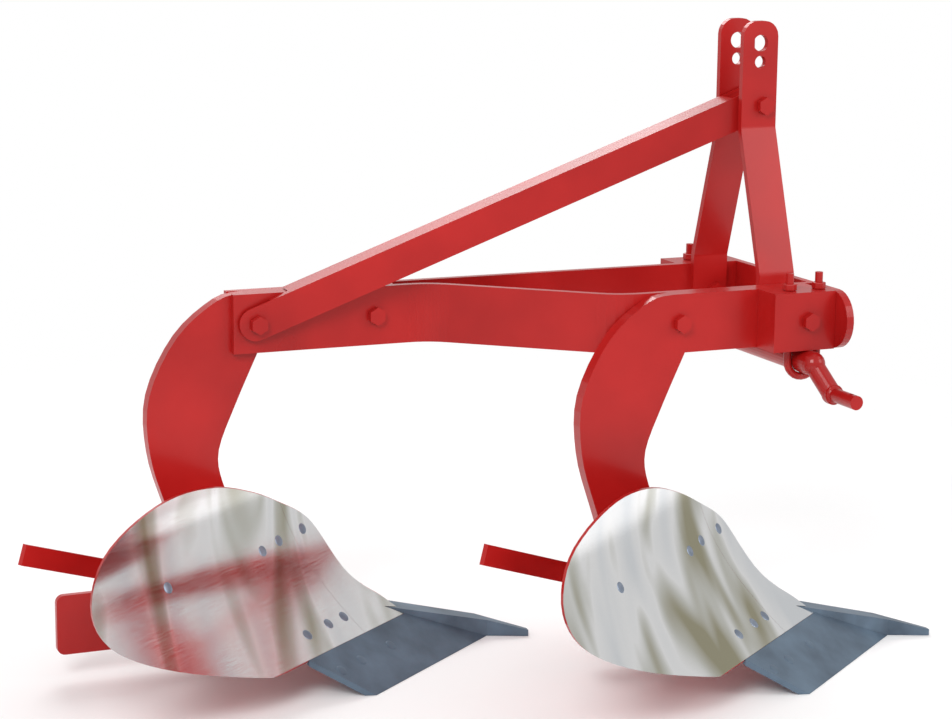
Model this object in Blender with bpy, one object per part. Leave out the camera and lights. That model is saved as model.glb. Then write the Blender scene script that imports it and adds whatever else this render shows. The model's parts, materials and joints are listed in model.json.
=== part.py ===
"""Two-furrow mounted moldboard plough.

+X is forward, towards the tractor, +Y is to the left and +Z is up. The shares stand on Z = 0.
The sizes are measured from the middle of the frame's front end, and the finished plough is then
moved to put the origin on the ground under the middle of its box.
Each plough body is drawn about its own datum: the point of its share in X, the left face of its
leg in Y. Share, moldboard, shin and frog are drawn in the edge frame, whose X runs along the
cutting edge and whose Y is square to it, so that each is a profile cut by an outline.
"""
import math

import bmesh
import bpy
from mathutils import Matrix, Vector

MM = 0.001

# Fits
GAP = 0.3 * MM            # between touching pieces
HOLE_CLEAR = 0.5 * MM     # radial, a bolt in its hole
POINT_CLEAR = 1.0 * MM    # around the share point, under the board and shin
SIDES = 24

# Frame
FRAME_TOP = 575 * MM
BAR_DEPTH = 90 * MM
BEAM_T = 12 * MM
BEAM_REAR = -835 * MM
LEG_T = 22 * MM
REAR_LEG_Y = 98 * MM
FRONT_LEG_Y = -136 * MM
BEND_START = -520 * MM
BEND_END = -290 * MM
BEND_RADIUS = 90 * MM
CROSS_REAR_FACE = 37 * MM
CROSS_T = 12 * MM
CROSS_WIDTH = 468 * MM

# Plough bodies
REAR_BODY_X = -359 * MM
FRONT_BODY_X = 241 * MM
SHARE_ANGLE = math.radians(37.5)
EDGE_X = -59 * MM
EDGE_Y = -36 * MM
CURVE_REACH = 225 * MM    # how far the board sweeps back over its height
CURVE_HEIGHT = 290 * MM   # where it stands upright
CURVE_TOP = 330 * MM
CURVE_STEPS = 14
SHARE_TOP = 57 * MM
SHARE_T = 8 * MM
SHARE_LENGTH = 337 * MM
SHARE_HEEL = 60 * MM
SHARE_NOSE = 122 * MM
BOARD_T = 6 * MM
FROG_T = 10 * MM
FROG_FIT = 0.8 * MM       # between the leg and the back of the frog
FROG_FRONT = -158 * MM
FROG_REAR = -300 * MM
FROG_TOP = 215 * MM
FROG_SETBACK = 7 * MM     # of its edge behind the edge of the shin
LANDSIDE_T = 10 * MM
STAY_HEIGHT = 30 * MM
STAY_T = 8 * MM
STRUT_R = 8 * MM
LEG_ARM_FRONT = -215 * MM

# Hitch
SHAFT_X = -4 * MM
SHAFT_R = 19 * MM
SHAFT_STRAIGHT = 207 * MM
CRANK_R = 15 * MM
CRANK_DROP = 42 * MM
CRANK_FORWARD = 16 * MM
CRANK_END = 238 * MM
COLLAR_R = 16 * MM
COLLAR_LENGTH = 8 * MM
PIN_R = 11 * MM
PIN_END = 309 * MM
LINCH_R = 4 * MM
LINCH_SETBACK = 14 * MM
BRACKET_WIDTH = 52 * MM
BRACKET_REAR = -69 * MM
BRACKET_WALL = 6 * MM
U_BOLT_R = 6 * MM
U_BOLT_ABOVE = 26 * MM

# Mast and brace
MAST_GAP = 62 * MM
MAST_T = 10 * MM
MAST_WIDTH = 61 * MM
MAST_X = -17 * MM
MAST_TOP = 974 * MM
MAST_BEND = 809 * MM
STRAP_BEND = 590 * MM
STRAP_BOTTOM = 500 * MM
MAST_RADIUS = 24 * MM
TOP_HOLE_Z = 940 * MM
TOP_HOLE_R = 12.7 * MM
LOW_HOLE_Z = 911 * MM
LOW_HOLE_R = 9.5 * MM
MAST_BOLT_Z = 843 * MM
BRACE_WIDTH = 50 * MM
BRACE_DEPTH = 50 * MM
BRACE_WALL = 4 * MM
BRACE_EAR = 34 * MM
BRACE_FOOT_X = -800 * MM
BRACE_FOOT_Y = 90 * MM

# Bolts
BOLT_R = 8 * MM
HEAD_R = 14 * MM
HEAD_T = 10 * MM
REAR_LEG_BOLT_X = -608 * MM
FRONT_LEG_BOLT_X = -200 * MM
BRACKET_BOLT_X = -8 * MM

FRAME_BOTTOM = FRAME_TOP - BAR_DEPTH
FRAME_MID = FRAME_TOP - BAR_DEPTH / 2
BEAM_SETOFF = (LEG_T + BEAM_T) / 2 + GAP
LEFT_BEAM_Y = REAR_LEG_Y + BEAM_SETOFF
RIGHT_REAR_Y = REAR_LEG_Y - BEAM_SETOFF
RIGHT_FRONT_Y = FRONT_LEG_Y + BEAM_SETOFF
SHAFT_Z = FRAME_BOTTOM - GAP - SHAFT_R
U_RADIUS = SHAFT_R + HOLE_CLEAR + U_BOLT_R


def clear_scene():
    for item in list(bpy.data.objects):
        bpy.data.objects.remove(item, do_unlink=True)


def collection(name):
    group = bpy.data.collections.new(name)
    bpy.context.scene.collection.children.link(group)
    return group


def material(name, colour, roughness, metallic):
    paint = bpy.data.materials.new(name)
    paint.use_nodes = True
    shader = paint.node_tree.nodes["Principled BSDF"]
    shader.inputs["Base Color"].default_value = colour
    shader.inputs["Roughness"].default_value = roughness
    shader.inputs["Metallic"].default_value = metallic
    paint.diffuse_color = colour
    return paint


clear_scene()
PARTS = collection("moldboard_plough")
CUTTERS = collection("cutters")
RED = material("red_enamel", (0.42, 0.012, 0.012, 1.0), 0.35, 0.0)
POLISHED = material("polished_steel", (0.72, 0.72, 0.73, 1.0), 0.12, 1.0)
SHARE_STEEL = material("share_steel", (0.1, 0.14, 0.19, 1.0), 0.4, 0.6)


def from_bmesh(name, shape, matrix):
    bmesh.ops.recalc_face_normals(shape, faces=shape.faces)
    mesh = bpy.data.meshes.new(name)
    shape.to_mesh(mesh)
    shape.free()
    mesh.transform(matrix)
    item = bpy.data.objects.new(name, mesh)
    CUTTERS.objects.link(item)
    item.hide_render = True
    item.display_type = "WIRE"
    return item


def fillet(corners, steps=5):
    """Points of a closed outline whose corners are (x, y, radius)."""
    points = []
    count = len(corners)
    for index, (x, y, radius) in enumerate(corners):
        here = Vector((x, y))
        if radius == 0:
            points.append(here)
            continue
        before = (Vector(corners[index - 1][:2]) - here).normalized()
        after = (Vector(corners[(index + 1) % count][:2]) - here).normalized()
        half = before.angle(after) / 2
        centre = here + (before + after).normalized() * radius / math.sin(half)
        start = here + before * radius / math.tan(half) - centre
        turn = start.angle_signed(here + after * radius / math.tan(half) - centre)
        for step in range(steps + 1):
            angle = -turn * step / steps
            spun = Matrix.Rotation(angle, 2) @ start
            points.append(centre + spun)
    return points


def through(points, steps=4):
    """A smooth line through the points (Catmull-Rom)."""
    line = []
    ends = [points[0]] + list(points) + [points[-1]]
    for index in range(1, len(ends) - 2):
        a, b, c, d = (Vector(ends[index + shift]) for shift in (-1, 0, 1, 2))
        for step in range(steps):
            t = step / steps
            line.append(0.5 * (2 * b + (c - a) * t + (2 * a - 5 * b + 4 * c - d) * t * t
                               + (3 * b - 3 * c + d - a) * t ** 3))
    line.append(Vector(points[-1]))
    return line


def prism(name, points, thickness, matrix):
    """A flat outline, thickened evenly both ways, as a mesh."""
    curve = bpy.data.curves.new(name, "CURVE")
    curve.dimensions = "2D"
    curve.fill_mode = "BOTH"
    curve.extrude = thickness / 2
    spline = curve.splines.new("POLY")
    spline.points.add(len(points) - 1)
    for place, point in zip(spline.points, points):
        place.co = (point[0], point[1], 0, 1)
    spline.use_cyclic_u = True
    outline = bpy.data.objects.new(name + "_outline", curve)
    CUTTERS.objects.link(outline)
    bpy.context.view_layer.update()
    mesh = bpy.data.meshes.new_from_object(outline)
    shape = bmesh.new()
    shape.from_mesh(mesh)
    bmesh.ops.remove_doubles(shape, verts=shape.verts, dist=1e-6)
    bpy.data.objects.remove(outline, do_unlink=True)
    return from_bmesh(name, shape, matrix)


def side(y):
    """An outline in X and Z, centred on this Y."""
    return Matrix.Translation((0, y, 0)) @ Matrix.Rotation(math.pi / 2, 4, "X")


def front(x):
    """An outline in Y and Z, centred on this X."""
    turn = Matrix(((0, 0, 1, 0), (1, 0, 0, 0), (0, 1, 0, 0), (0, 0, 0, 1)))
    return Matrix.Translation((x, 0, 0)) @ turn


def plan(z):
    return Matrix.Translation((0, 0, z))


def box(name, low, high, matrix=Matrix()):
    shape = bmesh.new()
    size = Vector(high) - Vector(low)
    centre = (Vector(high) + Vector(low)) / 2
    place = Matrix.Translation(centre) @ Matrix.Diagonal((*size, 1))
    bmesh.ops.create_cube(shape, size=1, matrix=place)
    return from_bmesh(name, shape, matrix)


def rod(name, start, end, radius, sides=SIDES):
    shape = bmesh.new()
    start, end = Vector(start), Vector(end)
    turn = (end - start).to_track_quat("Z", "Y").to_matrix().to_4x4()
    bmesh.ops.create_cone(shape, cap_ends=True, segments=sides, radius1=radius, radius2=radius,
                          depth=(end - start).length)
    return from_bmesh(name, shape, Matrix.Translation((start + end) / 2) @ turn)


def ball(name, centre, radius):
    shape = bmesh.new()
    bmesh.ops.create_uvsphere(shape, u_segments=SIDES, v_segments=12, radius=radius)
    return from_bmesh(name, shape, Matrix.Translation(centre))


def combine(piece, other, operation):
    step = piece.modifiers.new(operation.lower(), "BOOLEAN")
    step.operation = operation
    step.solver = "EXACT"
    step.object = other


def cut(piece, other):
    combine(piece, other, "DIFFERENCE")


def add(piece, other):
    combine(piece, other, "UNION")


def keep(piece, other):
    combine(piece, other, "INTERSECT")


def finish(item, paint):
    """Makes a shape a part of the plough."""
    CUTTERS.objects.unlink(item)
    PARTS.objects.link(item)
    item.hide_render = False
    item.display_type = "TEXTURED"
    item.data.materials.append(paint)
    for face in item.data.polygons:
        face.use_smooth = True
    item.data.set_sharp_from_angle(angle=math.radians(35))
    return item


def cross_hole(name, x, z, radius):
    return rod(name, (x, -0.4, z), (x, 0.4, z), radius)


def band(corners, thickness):
    """The outline of a bent flat bar, from the (x, y, radius) corners of its centre line."""
    line = [Vector(corners[0][:2])]
    for index in range(1, len(corners) - 1):
        trio = [corners[index - 1][:2] + (0,), corners[index], corners[index + 1][:2] + (0,)]
        line += fillet(trio)[1:-1]
    line.append(Vector(corners[-1][:2]))
    left, right = [], []
    for index, point in enumerate(line):
        ahead = line[min(index + 1, len(line) - 1)]
        behind = line[max(index - 1, 0)]
        along = (ahead - behind).normalized()
        across = Vector((-along.y, along.x)) * thickness / 2
        left.append(point + across)
        right.append(point - across)
    return left + right[::-1]


# ---------------------------------------------------------------- frame
pivot_hole = cross_hole("brace_pivot_hole", BRACE_FOOT_X, FRAME_MID, BOLT_R + HOLE_CLEAR)
rear_leg_hole = cross_hole("rear_leg_hole", REAR_LEG_BOLT_X, FRAME_MID, BOLT_R + HOLE_CLEAR)
front_leg_hole = cross_hole("front_leg_hole", FRONT_LEG_BOLT_X, FRAME_MID, BOLT_R + HOLE_CLEAR)
bracket_hole = cross_hole("bracket_hole", BRACKET_BOLT_X, FRAME_MID, BOLT_R + HOLE_CLEAR)
mast_hole = cross_hole("mast_hole", BRACKET_BOLT_X, MAST_BOLT_Z, BOLT_R + HOLE_CLEAR)

beam_front = CROSS_REAR_FACE - GAP
left_beam = box("left_beam", (BEAM_REAR, LEFT_BEAM_Y - BEAM_T / 2, FRAME_BOTTOM),
                (beam_front, LEFT_BEAM_Y + BEAM_T / 2, FRAME_TOP))
right_line = [(BEAM_REAR, RIGHT_REAR_Y, 0), (BEND_START, RIGHT_REAR_Y, BEND_RADIUS),
              (BEND_END, RIGHT_FRONT_Y, BEND_RADIUS), (beam_front, RIGHT_FRONT_Y, 0)]
right_beam = prism("right_beam", band(right_line, BEAM_T), BAR_DEPTH, plan(FRAME_MID))
for beam, holes in ((left_beam, (pivot_hole, rear_leg_hole, bracket_hole)),
                    (right_beam, (pivot_hole, rear_leg_hole, front_leg_hole, bracket_hole))):
    for hole in holes:
        cut(beam, hole)
    finish(beam, RED)

half_width, half_depth = CROSS_WIDTH / 2, BAR_DEPTH / 2
end_radius = half_depth - 0.5 * MM
cross_corners = [(-half_width, FRAME_BOTTOM, end_radius), (half_width, FRAME_BOTTOM, end_radius),
                 (half_width, FRAME_TOP, end_radius), (-half_width, FRAME_TOP, end_radius)]
crossmember = prism("front_crossmember", fillet(cross_corners, 8), CROSS_T,
                    front(CROSS_REAR_FACE + CROSS_T / 2))
finish(crossmember, RED)

# ---------------------------------------------------------------- brackets, U-bolts and shaft
# side, the sign of Y, the inner face of the bracket
BRACKETS = [("right", -1, -FRONT_LEG_Y + LEG_T / 2 + GAP), ("left", 1, LEFT_BEAM_Y + BEAM_T / 2 + GAP)]
for name, sign, inner in BRACKETS:
    outer = inner + BRACKET_WIDTH
    bracket_front = CROSS_REAR_FACE - GAP
    bracket = box(name + "_hitch_bracket", (BRACKET_REAR, min(sign * inner, sign * outer), FRAME_BOTTOM),
                  (bracket_front, max(sign * inner, sign * outer), FRAME_TOP))
    room_inner, room_outer = sign * (inner + BRACKET_WALL), sign * (outer - BRACKET_WALL)
    room = box(name + "_bracket_room",
               (BRACKET_REAR + BRACKET_WALL, min(room_inner, room_outer), FRAME_BOTTOM - BRACKET_WALL),
               (bracket_front - BRACKET_WALL, max(room_inner, room_outer), FRAME_TOP - BRACKET_WALL))
    cut(bracket, room)
    cut(bracket, bracket_hole)
    bolt_y = sign * (inner + outer) / 2
    for number, x in enumerate((SHAFT_X - U_RADIUS, SHAFT_X + U_RADIUS)):
        cut(bracket, rod(f"{name}_u_hole_{number}", (x, bolt_y, FRAME_TOP - 0.05),
                         (x, bolt_y, FRAME_TOP + 0.05), U_BOLT_R + HOLE_CLEAR))
    finish(bracket, RED)

    bow = bpy.data.curves.new(name + "_bow", "CURVE")
    bow.dimensions = "3D"
    bow.bevel_depth = U_BOLT_R
    bow.bevel_resolution = 4
    bow.use_fill_caps = True
    arc = [(SHAFT_X + U_RADIUS * math.cos(math.pi + math.pi * step / 12), bolt_y,
            SHAFT_Z + U_RADIUS * math.sin(math.pi + math.pi * step / 12)) for step in range(13)]
    stem_top = FRAME_TOP + U_BOLT_ABOVE
    stops = [(SHAFT_X - U_RADIUS, bolt_y, stem_top)] + arc + [(SHAFT_X + U_RADIUS, bolt_y, stem_top)]
    spline = bow.splines.new("POLY")
    spline.points.add(len(stops) - 1)
    for place, stop in zip(spline.points, stops):
        place.co = (*stop, 1)
    wire = bpy.data.objects.new(name + "_bow", bow)
    CUTTERS.objects.link(wire)
    bpy.context.view_layer.update()
    bow_mesh = bpy.data.meshes.new_from_object(wire)
    bpy.data.objects.remove(wire, do_unlink=True)
    shape = bmesh.new()
    shape.from_mesh(bow_mesh)
    bmesh.ops.remove_doubles(shape, verts=shape.verts, dist=1e-6)
    finish(from_bmesh(name + "_u_bolt", shape, Matrix()), RED)

shaft = rod("cross_shaft", (0, -SHAFT_STRAIGHT, 0), (0, SHAFT_STRAIGHT, 0), SHAFT_R)
for name, sign in (("right", -1), ("left", 1)):
    elbow = Vector((0, sign * SHAFT_STRAIGHT, 0))
    heel = Vector((CRANK_FORWARD, sign * CRANK_END, -CRANK_DROP))
    collar_end = heel + Vector((0, sign * COLLAR_LENGTH, 0))
    pin_end = Vector((CRANK_FORWARD, sign * PIN_END, -CRANK_DROP))
    linch = pin_end - Vector((0, sign * LINCH_SETBACK, 0))
    add(shaft, ball(name + "_elbow", elbow, SHAFT_R - GAP))
    add(shaft, rod(name + "_crank", elbow, heel, CRANK_R))
    add(shaft, ball(name + "_heel", heel, COLLAR_R))
    add(shaft, rod(name + "_collar", heel, collar_end, COLLAR_R - GAP, SIDES - 2))
    add(shaft, rod(name + "_pin", heel, pin_end, PIN_R))
    cut(shaft, rod(name + "_linch_hole", linch - Vector((0, 0, 0.03)), linch + Vector((0, 0, 0.03)), LINCH_R))
shaft.location = (SHAFT_X, 0, SHAFT_Z)
for helper in shaft.modifiers:
    helper.object.parent = shaft
finish(shaft, RED)

# ---------------------------------------------------------------- mast
half_mast = MAST_WIDTH / 2
mast_corners = [(MAST_X - half_mast, STRAP_BOTTOM, 0), (MAST_X + half_mast, STRAP_BOTTOM, 0),
                (MAST_X + half_mast, MAST_TOP, MAST_RADIUS), (MAST_X - half_mast, MAST_TOP, MAST_RADIUS)]
top_hole = cross_hole("top_link_hole", MAST_X, TOP_HOLE_Z, TOP_HOLE_R)
low_hole = cross_hole("lower_link_hole", MAST_X, LOW_HOLE_Z, LOW_HOLE_R)
mast_y = (MAST_GAP + MAST_T) / 2
foot_setoff = BEAM_T / 2 + GAP + MAST_T / 2
for name, sign, foot_y in (("right", -1, RIGHT_FRONT_Y + foot_setoff), ("left", 1, LEFT_BEAM_Y - foot_setoff)):
    line = [(sign * mast_y, MAST_TOP + 0.01, 0), (sign * mast_y, MAST_BEND, 0.02),
            (foot_y, STRAP_BEND, 0.02), (foot_y, STRAP_BOTTOM - 0.01, 0)]
    strap = prism(name + "_mast_strap", band(line, MAST_T), MAST_WIDTH + 20 * MM, front(MAST_X))
    keep(strap, prism(name + "_strap_outline", fillet(mast_corners), 0.4, side(0)))
    for hole in (top_hole, low_hole, mast_hole, bracket_hole):
        cut(strap, hole)
    finish(strap, RED)

# ---------------------------------------------------------------- back brace
foot = Vector((BRACE_FOOT_X, BRACE_FOOT_Y, FRAME_MID))
head = Vector((BRACKET_BOLT_X, 0, MAST_BOLT_Z))
along = (head - foot).normalized()
across = Vector((0, 0, 1)).cross(along).normalized()
upward = along.cross(across)
brace_frame = Matrix((along, across, upward)).transposed().to_4x4()
brace_frame.translation = foot
length = (head - foot).length
ear, half_brace = BRACE_DEPTH / 2, BRACE_DEPTH / 2 - 0.5 * MM
brace_corners = [(-ear, -ear, half_brace), (length + ear, -ear, half_brace),
                 (length + ear, ear, half_brace), (-ear, ear, half_brace)]
brace = prism("back_brace", fillet(brace_corners, 8), BRACE_WIDTH, brace_frame @ side(0))
bore_half = BRACE_WIDTH / 2 - BRACE_WALL
cut(brace, box("brace_bore", (-0.1, -bore_half, BRACE_WALL - ear), (length + 0.1, bore_half, ear - BRACE_WALL),
               brace_frame))
for name, start, end in (("lower", -0.1, BRACE_EAR), ("upper", length - BRACE_EAR, length + 0.1)):
    cut(brace, box(name + "_ear_slot", (start, -bore_half + GAP, -0.05), (end, bore_half - GAP, 0.05),
                   brace_frame))
right_face = RIGHT_REAR_Y - BEAM_T / 2
cut(brace, box("frame_under_brace", (BEAM_REAR - 0.1, right_face - GAP, FRAME_BOTTOM - 0.05),
               (BEND_START + 0.1, LEFT_BEAM_Y + 0.05, FRAME_TOP + 2 * MM)))
cut(brace, pivot_hole)
cut(brace, mast_hole)
finish(brace, RED)

# ---------------------------------------------------------------- frame bolts
brace_face = BRACE_FOOT_Y - BRACE_WIDTH / 2 - 1.5 * MM
bracket_right = -BRACKETS[0][2] - BRACKET_WIDTH
bracket_left = BRACKETS[1][2] + BRACKET_WIDTH
left_face = LEFT_BEAM_Y + BEAM_T / 2
right_inner = RIGHT_FRONT_Y + BEAM_T / 2
front_leg_face = FRONT_LEG_Y - LEG_T / 2
# name, x, z, right end and left end of the grip
BOLTS = [
    ("mast_bolt", BRACKET_BOLT_X, MAST_BOLT_Z, -mast_y - MAST_T / 2, mast_y + MAST_T / 2),
    ("brace_pivot_bolt", BRACE_FOOT_X, FRAME_MID, brace_face, left_face),
    ("rear_leg_bolt", REAR_LEG_BOLT_X, FRAME_MID, right_face, left_face),
    ("front_leg_bolt", FRONT_LEG_BOLT_X, FRAME_MID, front_leg_face, right_inner),
    ("right_bracket_bolt", BRACKET_BOLT_X, FRAME_MID, bracket_right, right_inner + MAST_T + GAP),
    ("left_bracket_bolt", BRACKET_BOLT_X, FRAME_MID, LEFT_BEAM_Y - BEAM_T / 2 - MAST_T - GAP, bracket_left),
]
for name, x, z, right_end, left_end in BOLTS:
    right_end, left_end = right_end - GAP, left_end + GAP
    bolt = rod(name, (x, right_end - HEAD_T / 2, z), (x, left_end + HEAD_T * 1.6, z), BOLT_R)
    add(bolt, rod(name + "_head", (x, right_end - HEAD_T, z), (x, right_end, z), HEAD_R, 6))
    add(bolt, rod(name + "_nut", (x, left_end, z), (x, left_end + HEAD_T, z), HEAD_R, 6))
    finish(bolt, RED)

# ---------------------------------------------------------------- plough bodies
# outlines in X and Z from the body datum, in millimetres
LEG_BACK = [(-455, 575), (-497, 566), (-560, 514), (-604, 427), (-604, 340), (-580, 257), (-548, 170), (-500, 80)]
LEG_FRONT = [(-250, 80), (-330, 225), (-420, 232), (-470, 250), (-492, 290), (-497, 338), (-470, 407), (-434, 485)]
BOARD_EDGE = [(-400, 247), (-450, 274), (-529, 304), (-610, 313), (-682, 297), (-745, 262), (-776, 210),
              (-766, 165), (-719, 130), (-630, 94), (-505, 59), (-440, 48)]
SHIN_EDGE = [(-400, 247), (-357, 221), (-331, 193), (-297, 134), (-268, 105), (-233, 81), (-190, 45)]
SEAM = [(-290, 45), (-339, 113), (-377, 183), (-400, 247)]
LONG_LANDSIDE = [(-745, 38, 12), (-300, 38, 0), (-260, 60, 0), (-300, 98, 0), (-590, 98, 0), (-600, 130, 0),
                 (-745, 130, 12)]
SHORT_LANDSIDE = [(-575, 38, 12), (-300, 38, 0), (-260, 60, 0), (-300, 98, 0), (-575, 98, 12)]
STAY_TIP = (-840, -197, 256)
STAY_ROOT = (-470, -28, 112)
BOARD_BOLT = (-640, -226, 195)


def millimetres(points):
    return [(x * MM, z * MM) for x, z in points]


def curve_depth(z):
    return CURVE_REACH * (1 - (1 - z / CURVE_HEIGHT) ** 2)


def profile(offset, bottom, top):
    """The board's section, set back by the offset along its normal."""
    line = []
    for step in range(CURVE_STEPS + 1):
        z = bottom + (top - bottom) * step / CURVE_STEPS
        slope = 2 * CURVE_REACH / CURVE_HEIGHT * (1 - z / CURVE_HEIGHT)
        square = Vector((1, -slope)).normalized()
        line.append(Vector((curve_depth(z), z)) + square * offset)
    return line


def edge_frame(x):
    """Sections run in the edge frame's Y and Z, centred on this X along the edge."""
    turn = Matrix.Rotation(SHARE_ANGLE, 4, "Z")
    return Matrix.Translation((EDGE_X, EDGE_Y, 0)) @ turn @ front(x)


def plan_in_edge_frame(z):
    turn = Matrix.Rotation(SHARE_ANGLE, 4, "Z")
    return Matrix.Translation((EDGE_X, EDGE_Y, z)) @ turn


def share_point(name, margin):
    side_outline = [(-238 * MM - margin, 72 * MM + margin), (10 * MM, 8 * MM + margin), (14 * MM, 0),
                    (-75 * MM, 0), (-238 * MM - margin, 42 * MM - margin)]
    plan_outline = [(-260 * MM, -GAP), (-66 * MM, -GAP), (4 * MM, -50 * MM), (2 * MM, -62 * MM),
                    (EDGE_X, EDGE_Y + GAP - margin), (-205 * MM, -47 * MM + GAP - margin),
                    (-260 * MM, -51 * MM + GAP - margin)]
    point = prism(name, side_outline, 0.3, side(0))
    keep(point, prism(name + "_plan", plan_outline, 0.4, plan(0)))
    return point


def plough_body(name, landside_outline, holes):
    middle = -(LEG_T / 2)
    pieces = []
    far = 0.8
    blade_length = SHARE_LENGTH + SHARE_HEEL + 0.1

    run, rise = curve_depth(SHARE_TOP), SHARE_TOP
    slant = math.hypot(run, rise)
    back = Vector((rise, -run)) / slant * SHARE_T
    ground_width = back.x - back.y * run / rise
    share = prism(name + "_share", [(0, 0), (ground_width, 0), (run + back.x, rise + back.y), (run, rise)],
                  blade_length, edge_frame(-SHARE_LENGTH / 2))
    blade_outline = [(-SHARE_LENGTH, 0), (-0.5 * MM, 0), (-SHARE_NOSE - 0.5 * MM, run),
                     (-SHARE_NOSE - 20 * MM, run + 10 * MM), (-SHARE_LENGTH - SHARE_HEEL, run + 10 * MM),
                     (-SHARE_LENGTH - SHARE_HEEL, run)]
    blade_outline[0] = (-SHARE_LENGTH, -1 * MM)
    blade_outline[1] = (-0.5 * MM, -1 * MM)
    keep(share, prism(name + "_share_plan", blade_outline, 0.3, plan_in_edge_frame(0)))
    pieces.append((share, SHARE_STEEL))
    pieces.append((share_point(name + "_share_point", 0), SHARE_STEEL))

    seam = through(millimetres(SEAM))
    clearance = share_point(name + "_point_room", POINT_CLEAR)
    for part, edge, shift in (("moldboard", BOARD_EDGE, -GAP / 2), ("shin", SHIN_EDGE, GAP / 2)):
        section = profile(0, SHARE_TOP + GAP, CURVE_TOP) + profile(BOARD_T, SHARE_TOP + GAP, CURVE_TOP)[::-1]
        board = prism(f"{name}_{part}", section, 2 * far, edge_frame(-SHARE_LENGTH / 2))
        rim = through(millimetres(edge))
        line = [point + Vector((shift, 0)) for point in seam]
        outline = rim[1:] + line[:-1] + [line[-1]]
        keep(board, prism(f"{name}_{part}_outline", outline, far, side(EDGE_Y)))
        cut(board, clearance)
        pieces.append((board, POLISHED))

    strip = (profile(BOARD_T + GAP, SHARE_TOP + 9 * MM, FROG_TOP)
             + profile(BOARD_T + GAP + FROG_T, SHARE_TOP + 9 * MM, FROG_TOP)[::-1])
    share_back = Vector((run, rise)) + back * (1 + GAP / SHARE_T)
    share_low = Vector((run, rise)) * 0.45 + back * (1 + GAP / SHARE_T)
    strip += [share_low + back * FROG_T / SHARE_T, share_low, share_back]
    frog_middle = (FROG_FRONT + FROG_REAR) / 2
    frog = prism(name + "_frog", strip, FROG_FRONT - FROG_REAR, edge_frame(frog_middle))
    frog_rim = [point - Vector((FROG_SETBACK, 0)) for point in through(millimetres(SHIN_EDGE))]
    frog_outline = frog_rim + [(-0.8, frog_rim[-1].y), (-0.8, frog_rim[0].y)]
    keep(frog, prism(name + "_frog_outline", frog_outline, far, side(EDGE_Y)))
    pieces.append((frog, RED))

    leg_line = (through(millimetres(LEG_BACK)) + through(millimetres(LEG_FRONT))
                + [(LEG_ARM_FRONT, FRAME_BOTTOM), (LEG_ARM_FRONT, FRAME_TOP)])
    leg = prism(name + "_leg", leg_line, LEG_T, side(middle))
    clear_of_frog = profile(BOARD_T + GAP + FROG_T + FROG_FIT, 10 * MM, CURVE_TOP)
    leg_room = [(-0.4, 10 * MM)] + clear_of_frog + [(-0.4, CURVE_TOP)]
    room = prism(name + "_board_room", leg_room, 2 * far, edge_frame(frog_middle))
    cut(leg, room)
    pieces.append((leg, RED))

    landside = prism(name + "_landside", fillet([(x * MM, z * MM, r * MM) for x, z, r in landside_outline]),
                     LANDSIDE_T, side(LANDSIDE_T / 2 + GAP))
    pieces.append((landside, RED))

    tip = Vector(STAY_TIP) * MM
    root = Vector((STAY_ROOT[0] * MM, -LEG_T - GAP, STAY_ROOT[2] * MM))
    ahead = (root - tip).normalized()
    level = Vector((0, 0, 1)).cross(ahead).normalized()
    frame = Matrix((ahead, level, ahead.cross(level))).transposed().to_4x4()
    frame.translation = tip
    stay = box(name + "_stay_bar", (0, -STAY_T / 2, -STAY_HEIGHT / 2),
               ((root - tip).length + 40 * MM, STAY_T / 2, STAY_HEIGHT / 2), frame)
    cut(stay, box(name + "_leg_face", (-0.7, -LEG_T - GAP, 0), (0, 0.2, 0.4)))
    pieces.append((stay, RED))

    board_point = Vector(BOARD_BOLT) * MM
    stay_point = tip + (root - tip) * 0.5
    strut = rod(name + "_moldboard_strut", stay_point, board_point, STRUT_R)
    near_board = profile(BOARD_T + GAP, 10 * MM, CURVE_TOP)
    cut(strut, prism(name + "_strut_room", [(-0.4, 10 * MM)] + near_board + [(-0.4, CURVE_TOP)], 2 * far,
                     edge_frame(frog_middle)))
    cut(strut, box(name + "_stay_room", (0, -STAY_T / 2 - GAP, -0.1), (1, 0.3, 0.1), frame))
    pieces.append((strut, RED))
    return pieces, leg


# name, X of the datum, Y of the leg, outline of the landside, bolt holes through the arm of the leg
BODIES = [("rear", REAR_BODY_X, REAR_LEG_Y, LONG_LANDSIDE, (pivot_hole, rear_leg_hole)),
          ("front", FRONT_BODY_X, FRONT_LEG_Y, SHORT_LANDSIDE, (front_leg_hole, bracket_hole))]
for name, x, leg_y, landside_outline, holes in BODIES:
    pieces, leg = plough_body(name, landside_outline, holes)
    shift = Matrix.Translation((x, leg_y + LEG_T / 2, 0))
    moved = set()
    for piece, paint in pieces:
        stack = [piece]
        while stack:
            item = stack.pop()
            if item.name in moved:
                continue
            moved.add(item.name)
            item.data.transform(shift)
            stack += [step.object for step in item.modifiers]
        finish(piece, paint)
    for hole in holes:
        cut(leg, hole)

# ---------------------------------------------------------------- origin, under the middle of the box
bpy.context.view_layer.update()
graph = bpy.context.evaluated_depsgraph_get()
corners = []
for item in PARTS.objects:
    final = item.evaluated_get(graph)
    corners += [final.matrix_world @ Vector(corner) for corner in final.bound_box]
middle_x = (min(corner.x for corner in corners) + max(corner.x for corner in corners)) / 2
middle_y = (min(corner.y for corner in corners) + max(corner.y for corner in corners)) / 2
for item in list(PARTS.objects) + list(CUTTERS.objects):
    if item.parent is None:
        item.location -= Vector((middle_x, middle_y, 0))
bpy.context.view_layer.update()
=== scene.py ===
import json
import math
import bpy
from mathutils import Matrix, Vector

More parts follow.
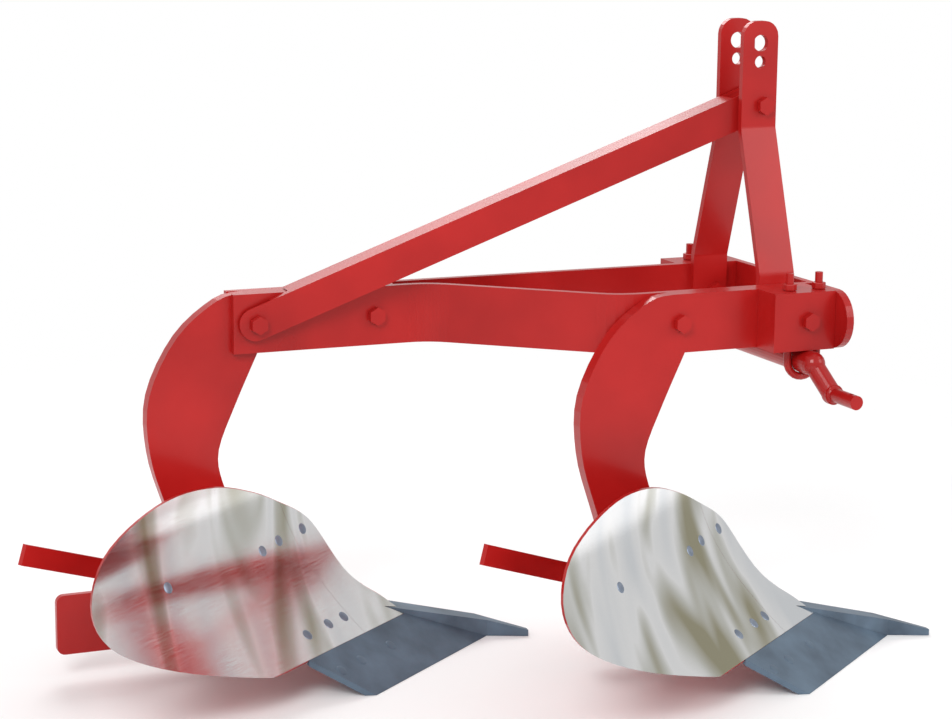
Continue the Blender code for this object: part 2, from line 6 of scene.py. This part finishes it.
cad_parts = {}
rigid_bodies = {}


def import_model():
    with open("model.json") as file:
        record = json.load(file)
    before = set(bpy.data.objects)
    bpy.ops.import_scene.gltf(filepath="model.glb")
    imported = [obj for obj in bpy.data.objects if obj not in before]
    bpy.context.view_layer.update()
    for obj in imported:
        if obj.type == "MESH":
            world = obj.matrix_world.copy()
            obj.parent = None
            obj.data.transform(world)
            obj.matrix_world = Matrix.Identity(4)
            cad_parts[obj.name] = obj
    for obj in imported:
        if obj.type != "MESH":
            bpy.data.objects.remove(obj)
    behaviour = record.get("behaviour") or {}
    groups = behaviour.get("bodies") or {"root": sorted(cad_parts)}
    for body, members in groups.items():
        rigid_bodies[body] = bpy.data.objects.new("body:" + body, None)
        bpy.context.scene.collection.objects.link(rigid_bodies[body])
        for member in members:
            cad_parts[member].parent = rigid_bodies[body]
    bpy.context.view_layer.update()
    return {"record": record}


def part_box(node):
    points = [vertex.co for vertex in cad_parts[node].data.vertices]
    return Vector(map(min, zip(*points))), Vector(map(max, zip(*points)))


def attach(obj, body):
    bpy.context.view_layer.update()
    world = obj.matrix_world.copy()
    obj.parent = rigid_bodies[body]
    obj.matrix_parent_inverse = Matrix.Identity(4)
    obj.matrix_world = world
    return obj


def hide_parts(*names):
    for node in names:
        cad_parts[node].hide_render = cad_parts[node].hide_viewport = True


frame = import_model()
print("loaded the plough")

mm = 0.001


def hexColor(text):
    """sRGB hex to linear, for the shader sockets."""
    values = [int(text[i:i + 2], 16) / 255 for i in (1, 3, 5)]
    return [v / 12.92 if v <= 0.04045 else ((v + 0.055) / 1.055) ** 2.4 for v in values] + [1.0]


def addNode(tree, kind, links=None, **values):
    node = tree.nodes.new(kind)
    for key, value in values.items():
        if key in node.inputs:
            node.inputs[key].default_value = value
        else:
            setattr(node, key, value)
    for socket, source in (links or {}).items():
        tree.links.new(source, node.inputs[socket])
    return node


def newMaterial(name, roughness, metallic):
    mat = bpy.data.materials.new(name)
    mat.use_nodes = True
    shader = mat.node_tree.nodes["Principled BSDF"]
    shader.inputs["Roughness"].default_value = roughness
    shader.inputs["Metallic"].default_value = metallic
    coords = addNode(mat.node_tree, "ShaderNodeTexCoord").outputs["Object"]
    return mat, mat.node_tree, shader, coords


def ramp(tree, source, stops):
    node = addNode(tree, "ShaderNodeValToRGB", {"Fac": source})
    while len(node.color_ramp.elements) < len(stops):
        node.color_ramp.elements.new(0.5)
    for element, (place, color) in zip(node.color_ramp.elements, stops):
        element.position = place
        element.color = color
    return node.outputs["Color"]


def grey(value):
    return [value, value, value, 1.0]


# Red enamel: brushed-on gloss paint with faint tone drift and orange peel.
def redEnamel():
    mat, tree, shader, coords = newMaterial("redEnamel", 0.3, 0.0)
    drift = addNode(tree, "ShaderNodeTexNoise", {"Vector": coords}, Scale=5.0, Detail=3.0)
    tone = ramp(tree, drift.outputs["Fac"], [(0.3, hexColor("#A01312")), (0.7, hexColor("#BE1D1B"))])
    tree.links.new(tone, shader.inputs["Base Color"])
    peel = addNode(tree, "ShaderNodeTexNoise", {"Vector": coords}, Scale=260.0, Detail=2.0)
    bump = addNode(tree, "ShaderNodeBump", {"Height": peel.outputs["Fac"]}, Strength=0.12, Distance=0.0006)
    tree.links.new(bump.outputs["Normal"], shader.inputs["Normal"])
    gloss = ramp(tree, drift.outputs["Fac"], [(0.2, grey(0.24)), (0.8, grey(0.4))])
    tree.links.new(gloss, shader.inputs["Roughness"])
    shader.inputs["Specular IOR Level"].default_value = 0.35
    shader.inputs["Coat Weight"].default_value = 0.12
    shader.inputs["Coat Roughness"].default_value = 0.12
    return mat


# Polished steel: a mirror with fine grinding lines and an olive-brown painted reflection across one corner.
def polishedSteel():
    mat, tree, shader, coords = newMaterial("polishedSteel", 0.1, 1.0)
    turned = addNode(tree, "ShaderNodeMapping", {"Vector": coords})
    turned.inputs["Rotation"].default_value = (0.0, math.radians(38), 0.0)
    turned.inputs["Scale"].default_value = (6.0, 1.0, 1.6)
    # This noise mixes an olive-brown painted reflection into the pale steel tone.
    steelToneAndReflection = addNode(tree, "ShaderNodeTexNoise", {"Vector": turned.outputs["Vector"]}, Scale=1.6, Detail=2.0,
                   Distortion=0.5)
    tone = ramp(tree, steelToneAndReflection.outputs["Fac"], [(0.34, hexColor("#A39E84")), (0.43, hexColor("#D2D2CB")),
                                            (0.5, hexColor("#F6F6F6")), (0.66, hexColor("#E4E7EA"))])
    tree.links.new(tone, shader.inputs["Base Color"])
    lines = addNode(tree, "ShaderNodeMapping", {"Vector": coords})
    lines.inputs["Scale"].default_value = (1.0, 1.0, 40.0)
    grain = addNode(tree, "ShaderNodeTexNoise", {"Vector": lines.outputs["Vector"]}, Scale=30.0, Detail=3.0)
    gloss = ramp(tree, grain.outputs["Fac"], [(0.3, grey(0.12)), (0.7, grey(0.2))])
    tree.links.new(gloss, shader.inputs["Roughness"])
    return mat


# Share steel: semi-gloss blue-grey coating, a little mottled.
def shareSteel():
    mat, tree, shader, coords = newMaterial("shareSteel", 0.42, 0.35)
    mottle = addNode(tree, "ShaderNodeTexNoise", {"Vector": coords}, Scale=14.0, Detail=4.0)
    tone = ramp(tree, mottle.outputs["Fac"], [(0.3, hexColor("#4A5867")), (0.7, hexColor("#66798B"))])
    tree.links.new(tone, shader.inputs["Base Color"])
    grit = addNode(tree, "ShaderNodeTexNoise", {"Vector": coords}, Scale=500.0, Detail=2.0)
    bump = addNode(tree, "ShaderNodeBump", {"Height": grit.outputs["Fac"]}, Strength=0.1, Distance=0.0004)
    tree.links.new(bump.outputs["Normal"], shader.inputs["Normal"])
    return mat


# Bolt steel: plain satin heads, ground flush.
def boltSteel():
    mat, tree, shader, coords = newMaterial("boltSteel", 0.35, 0.9)
    wear = addNode(tree, "ShaderNodeTexNoise", {"Vector": coords}, Scale=90.0, Detail=2.0)
    tone = ramp(tree, wear.outputs["Fac"], [(0.3, hexColor("#7C8798")), (0.7, hexColor("#98A2B2"))])
    tree.links.new(tone, shader.inputs["Base Color"])
    return mat


finishes = {"red_enamel": redEnamel(), "polished_steel": polishedSteel(), "share_steel": shareSteel()}
boltFinish = boltSteel()
for part in frame["record"]["subparts"]:
    node = bpy.data.objects[part["node"]]
    for place in node.material_slots:
        place.material = finishes[part["material_slot"]]
print("finished the surfaces")


# Boards and shins: the CAD shape with the true curve's normals, so that the mirror finish runs unbroken.
reach, stand, shareAngle = 225 * mm, 290 * mm, math.radians(37.5)
across = Vector((-math.sin(shareAngle), math.cos(shareAngle)))
alongEdge = Vector((math.cos(shareAngle), math.sin(shareAngle)))


def curveNormal(z):
    slope = 2 * reach / stand * (1 - z / stand)
    return Vector((-across.x, -across.y, slope)).normalized()


for nodeName in ("rear_moldboard", "rear_shin", "front_moldboard", "front_shin"):
    source = bpy.data.objects[nodeName]
    mesh = source.data.copy()
    board = bpy.data.objects.new(nodeName + "_smooth", mesh)
    bpy.context.scene.collection.objects.link(board)
    mesh.materials.clear()
    mesh.materials.append(finishes["polished_steel"])
    mesh.materials.append(finishes["red_enamel"])  # the rim and back are painted
    normals = []
    for face in mesh.polygons:
        face.use_smooth = True
        face.material_index = 0 if face.normal.dot(curveNormal(face.center.z)) > 0.9 else 1
        for corner in face.vertices:
            normal = curveNormal(mesh.vertices[corner].co.z)
            facing = face.normal.dot(normal)
            if abs(facing) < 0.9:
                normal = face.normal
            elif facing < 0:
                normal = -normal
            normals.append(normal)
    mesh.normals_split_custom_set(normals)
    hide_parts(nodeName)
    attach(board, "plough")
print("smoothed the boards")


def settle(piece, mat):
    """Place goes into the mesh, then the piece rides on the plough."""
    bpy.ops.object.select_all(action="DESELECT")
    piece.select_set(True)
    bpy.context.view_layer.objects.active = piece
    bpy.ops.object.transform_apply(location=True, rotation=True, scale=True)
    piece.data.materials.clear()
    piece.data.materials.append(mat)
    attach(piece, "plough")


# Hexagon nuts on the U-bolt stems, above the brackets.
nut = {"radius": 11 * mm, "height": 10 * mm, "bore": 6.3 * mm, "bevel": 1.2 * mm}


def hexNut(name, spot):
    bpy.ops.mesh.primitive_cylinder_add(vertices=6, radius=nut["radius"], depth=nut["height"], location=spot)
    piece = bpy.context.object
    piece.name = name
    bpy.ops.object.mode_set(mode="EDIT")
    bpy.ops.mesh.select_all(action="SELECT")
    bpy.ops.mesh.bevel(offset=nut["bevel"], segments=2, affect="EDGES")
    bpy.ops.object.mode_set(mode="OBJECT")
    bpy.ops.object.transform_apply(location=True, rotation=True, scale=True)
    bpy.ops.mesh.primitive_cylinder_add(vertices=24, radius=nut["bore"], depth=0.05, location=spot)
    core = bpy.context.object
    drill = piece.modifiers.new("bore", "BOOLEAN")
    drill.operation = "DIFFERENCE"
    drill.object = core
    bpy.context.view_layer.objects.active = piece
    bpy.ops.object.modifier_apply(modifier="bore")
    bpy.data.objects.remove(core, do_unlink=True)
    settle(piece, finishes["red_enamel"])


for side in ("right", "left"):
    low, high = (Vector(corner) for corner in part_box(side + "_u_bolt"))
    stem = 6 * mm
    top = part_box(side + "_hitch_bracket")[1][2]
    for number, x in enumerate((low.x + stem, high.x - stem)):
        hexNut(f"{side}_u_nut_{number}", (x, (low.y + high.y) / 2, top + nut["height"] / 2 + 0.3 * mm))
print("added the nuts")

# Flush bolts through the board and the share, each a low domed head in the surface.
edgeSpot = (-59 * mm, -36 * mm)  # front end of the cutting edge, from the body's datum
pointTip = 4 * mm  # the tip stands this far ahead of the body's datum
shareTop = 57 * mm
headRadius = 9 * mm
boardBolts = [(-361, 200), (-414, 197), (-450, 192), (-640, 195), (-328, 82), (-362, 82), (-409, 81)]
shareBolts = [(-215, 0.62), (-300, 0.62), (-356, 0.62)]


def flushHead(name, spot, normal, radius, mat):
    bpy.ops.mesh.primitive_uv_sphere_add(segments=32, ring_count=12, radius=radius)
    piece = bpy.context.object
    piece.name = name
    piece.scale = (1.0, 1.0, 0.12)
    piece.rotation_euler = normal.to_track_quat("Z", "Y").to_euler()
    piece.location = spot
    bpy.ops.object.shade_smooth()
    settle(piece, mat)


for body in ("rear", "front"):
    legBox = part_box(body + "_leg")
    datum = Vector((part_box(body + "_share_point")[1][0] - pointTip, legBox[1][1], 0.0))
    for number, (x, z) in enumerate(boardBolts):
        x, z = x * mm, z * mm
        depth = reach * (1 - (1 - z / stand) ** 2)
        y = edgeSpot[1] + (depth - (x - edgeSpot[0]) * across.x) / across.y
        normal = curveNormal(z)
        flushHead(f"{body}_board_bolt_{number}", datum + Vector((x, y, z)), normal, headRadius,
                  boltFinish)
    run, rise = reach * (1 - (1 - shareTop / stand) ** 2), shareTop
    for number, (back, share) in enumerate(shareBolts):
        place = alongEdge * back * mm + across * run * share
        spot = datum + Vector((edgeSpot[0] + place.x, edgeSpot[1] + place.y, rise * share))
        normal = Vector((-across.x * rise, -across.y * rise, run)).normalized()
        flushHead(f"{body}_share_bolt_{number}", spot, normal, headRadius,
                  finishes["share_steel"])
print("added the flush bolts")

# Floor, light and camera.
bpy.ops.mesh.primitive_plane_add(size=40, location=(0, 0, -0.0005))
floor = bpy.context.object
floor.name = "studioFloor"
floorMat = bpy.data.materials.new("paleFloor")
floorMat.use_nodes = True
floorTree = floorMat.node_tree
floorShader = floorTree.nodes["Principled BSDF"]
floorShader.inputs["Base Color"].default_value = hexColor("#FAFAFA")
floorShader.inputs["Roughness"].default_value = 0.8
# The floor fades out away from the plough, so the white studio closes round it.
spread = {"solid": 1.0, "gone": 2.6}
spot = addNode(floorTree, "ShaderNodeTexCoord").outputs["Object"]
away = addNode(floorTree, "ShaderNodeVectorMath", {0: spot}, operation="LENGTH")
fade = addNode(floorTree, "ShaderNodeMapRange", {"Value": away.outputs["Value"]},
               interpolation_type="SMOOTHSTEP")
fade.inputs["From Min"].default_value = spread["solid"]
fade.inputs["From Max"].default_value = spread["gone"]
clear = addNode(floorTree, "ShaderNodeBsdfTransparent")
blend = addNode(floorTree, "ShaderNodeMixShader", {0: fade.outputs["Result"], 1: floorShader.outputs["BSDF"],
                                                   2: clear.outputs["BSDF"]})
floorTree.links.new(blend.outputs["Shader"], floorTree.nodes["Material Output"].inputs["Surface"])
floor.data.materials.append(floorMat)

world = bpy.data.worlds.new("studio")
bpy.context.scene.world = world
world.use_nodes = True
worldTree = world.node_tree
background = worldTree.nodes["Background"]
background.inputs["Color"].default_value = hexColor("#FFFFFF")
path = addNode(worldTree, "ShaderNodeLightPath")
level = addNode(worldTree, "ShaderNodeMath", {0: path.outputs["Is Camera Ray"]}, operation="MULTIPLY_ADD")
level.inputs[1].default_value = 0.35
level.inputs[2].default_value = 0.65
worldTree.links.new(level.outputs[0], background.inputs["Strength"])


def softLight(name, spot, size, power):
    light = bpy.data.lights.new(name, "AREA")
    light.shape = "SQUARE"
    light.size = size
    light.energy = power
    lamp = bpy.data.objects.new(name, light)
    lamp.location = spot
    lamp.rotation_euler = (Vector((0.1, 0.1, 0.4)) - Vector(spot)).to_track_quat("-Z", "Y").to_euler()
    bpy.context.scene.collection.objects.link(lamp)


softLight("keyLight", (-2.6, -3.0, 3.4), 2.0, 110)
softLight("fillLight", (3.2, -2.4, 2.2), 2.4, 50)
softLight("rimLight", (0.5, 3.4, 3.0), 2.0, 60)

view = {"lens": 94.5, "spot": (-1.488, -3.338, 1.209), "turn": -23.6, "down": 11.25, "roll": 0.6}
camera = bpy.data.cameras.new("camera")
camera.lens = view["lens"]
viewer = bpy.data.objects.new("camera", camera)
viewer.location = view["spot"]
turn, down, roll = (math.radians(view[key]) for key in ("turn", "down", "roll"))
aim = Matrix.Rotation(turn, 3, "Z") @ Matrix.Rotation(math.pi / 2 - down, 3, "X")
viewer.rotation_euler = (aim @ Matrix.Rotation(roll, 3, "Z")).to_euler()
bpy.context.scene.collection.objects.link(viewer)
bpy.context.scene.camera = viewer
bpy.context.scene.view_settings.view_transform = "Standard"
print("lit and framed")
